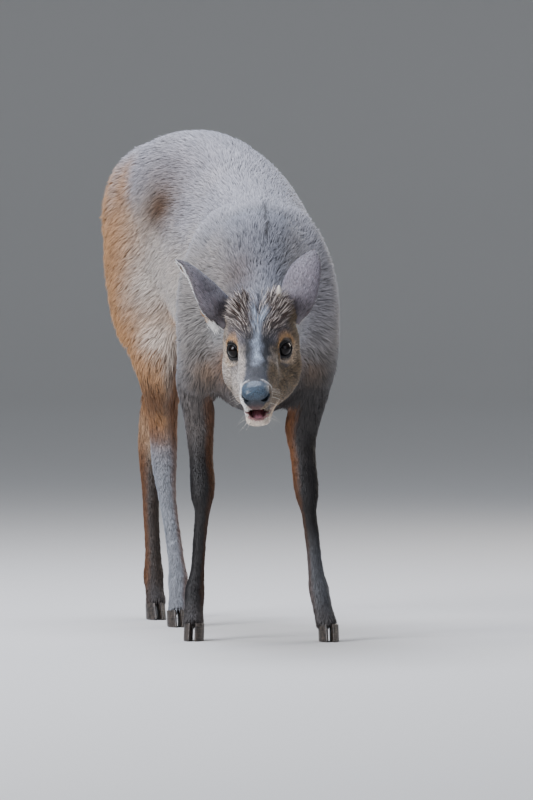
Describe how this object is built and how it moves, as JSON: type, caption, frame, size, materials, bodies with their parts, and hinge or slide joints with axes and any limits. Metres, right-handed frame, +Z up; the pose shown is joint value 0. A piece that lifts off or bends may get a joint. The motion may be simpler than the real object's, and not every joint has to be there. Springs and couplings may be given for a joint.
{
  "type": "red brocket deer",
  "caption": "Life-size standing brocket deer with lowered head, small mouth opening and one short antler spike.",
  "frame": {"origin": "middle of the bounding box's footprint, on the floor the hooves stand on", "axes": "+Z up; the animal faces -Y and its left side is +X, with the hindquarters bent toward -X"},
  "size_m": [0.3426, 1.0702, 0.7144],
  "materials": {
    "body_coat": "short grey-brown coat",
    "leg_coat": "very short dark coat",
    "face_coat": "very short grey-brown coat",
    "ear_hair": "thin dark hair, pale rim",
    "hoof_horn": "dark horn",
    "eye": "wet and glossy",
    "nose_skin": "moist black skin",
    "tongue_flesh": "moist pink flesh",
    "antler_bone": "pale bare bone"
  },
  "bodies": {
    "root": {"antler_left": "antler_bone", "dewclaw_fore_left_inner": "hoof_horn", "dewclaw_fore_left_outer": "hoof_horn", "dewclaw_fore_right_inner": "hoof_horn", "dewclaw_fore_right_outer": "hoof_horn", "dewclaw_hind_left_inner": "hoof_horn", "dewclaw_hind_left_outer": "hoof_horn", "dewclaw_hind_right_inner": "hoof_horn", "dewclaw_hind_right_outer": "hoof_horn", "ear_left": "ear_hair", "ear_right": "ear_hair", "eye_left": "eye", "eye_right": "eye", "foreleg_left": "leg_coat", "foreleg_right": "leg_coat", "head": "face_coat", "hoof_fore_left_inner": "hoof_horn", "hoof_fore_left_outer": "hoof_horn", "hoof_fore_right_inner": "hoof_horn", "hoof_fore_right_outer": "hoof_horn", "hoof_hind_left_inner": "hoof_horn", "hoof_hind_left_outer": "hoof_horn", "hoof_hind_right_inner": "hoof_horn", "hoof_hind_right_outer": "hoof_horn", "lower_jaw": "face_coat", "neck": "body_coat", "nose_pad": "nose_skin", "shank_left": "leg_coat", "shank_right": "leg_coat", "tail": "body_coat", "thigh_left": "body_coat", "thigh_right": "body_coat", "tongue": "tongue_flesh", "torso": "body_coat"}
  },
  "joints": []
}
